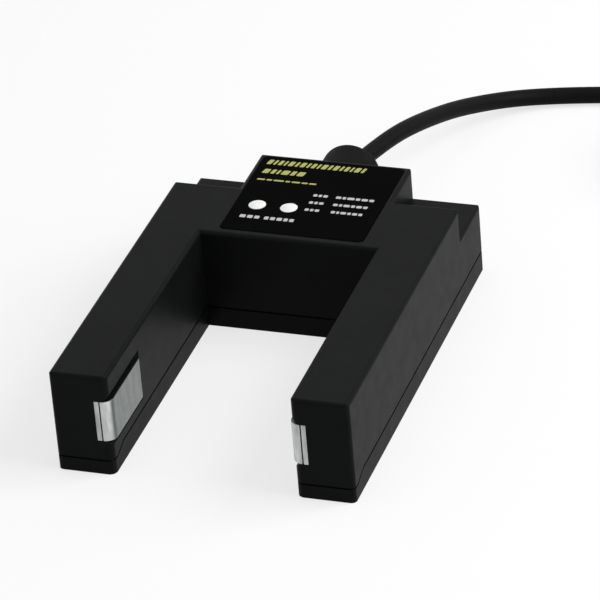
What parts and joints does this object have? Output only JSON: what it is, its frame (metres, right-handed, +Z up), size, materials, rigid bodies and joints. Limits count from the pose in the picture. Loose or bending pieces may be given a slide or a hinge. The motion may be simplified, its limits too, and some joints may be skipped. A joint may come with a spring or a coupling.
{
  "type": "fork sensor",
  "caption": "U-shaped photoelectric fork sensor: black moulded body with facing clear windows in its arms, a lamp panel on top, rear mounting lugs and a lead-out cable.",
  "frame": {"origin": "midway between the two mounting holes, on the mounting face", "axes": "+X across the arms, +Y from the fork's open end towards the cable, +Z up from the mounting face"},
  "size_m": [0.1792, 0.2228, 0.0304],
  "materials": {
    "housing_plastic": "fine spark-eroded texture",
    "cover_plastic": "fine spark-eroded texture",
    "screw_steel": "zinc plated",
    "window_clear": "clear moulded plastic",
    "holder_plastic": "moulded",
    "emitter_lens": "clear blue tint",
    "receiver_lens": "dark daylight filter",
    "board_green": "solder mask",
    "lead_grey": "smooth",
    "chip_black": "moulded",
    "capacitor_can": "drawn can",
    "lamp_red": "clear",
    "lamp_green": "clear",
    "lamp_white": "milky diffuser",
    "label_black": "glossy printed foil",
    "gland_rubber": "moulded",
    "cable_sheath": "matte sheath",
    "tie_plastic": "smooth strap",
    "core_brown": "smooth insulation",
    "core_blue": "smooth insulation",
    "core_black": "smooth insulation"
  },
  "bodies": {
    "root": {"upper_housing": "housing_plastic", "bottom_cover": "cover_plastic", "cover_screws": "screw_steel", "emitter_window": "window_clear", "receiver_window": "window_clear", "emitter_holder": "holder_plastic", "receiver_holder": "holder_plastic", "emitter_diode": "emitter_lens", "receiver_diode": "receiver_lens", "emitter_board": "board_green", "receiver_board": "board_green", "emitter_leads": "lead_grey", "receiver_leads": "lead_grey", "main_board": "board_green", "board_screws": "screw_steel", "control_chip": "chip_black", "output_transistor": "chip_black", "capacitors": "capacitor_can", "output_lamp": "lamp_red", "power_lamp": "lamp_green", "output_lamp_window": "lamp_white", "power_lamp_window": "lamp_white", "label_panel": "label_black", "cable_gland": "gland_rubber", "cable_tail": "cable_sheath", "brown_core": "core_brown", "blue_core": "core_blue", "black_core": "core_black", "cable": "cable_sheath", "cable_coil": "cable_sheath", "coil_tie": "tie_plastic", "brown_end": "core_brown", "blue_end": "core_blue", "black_end": "core_black"}
  },
  "joints": []
}
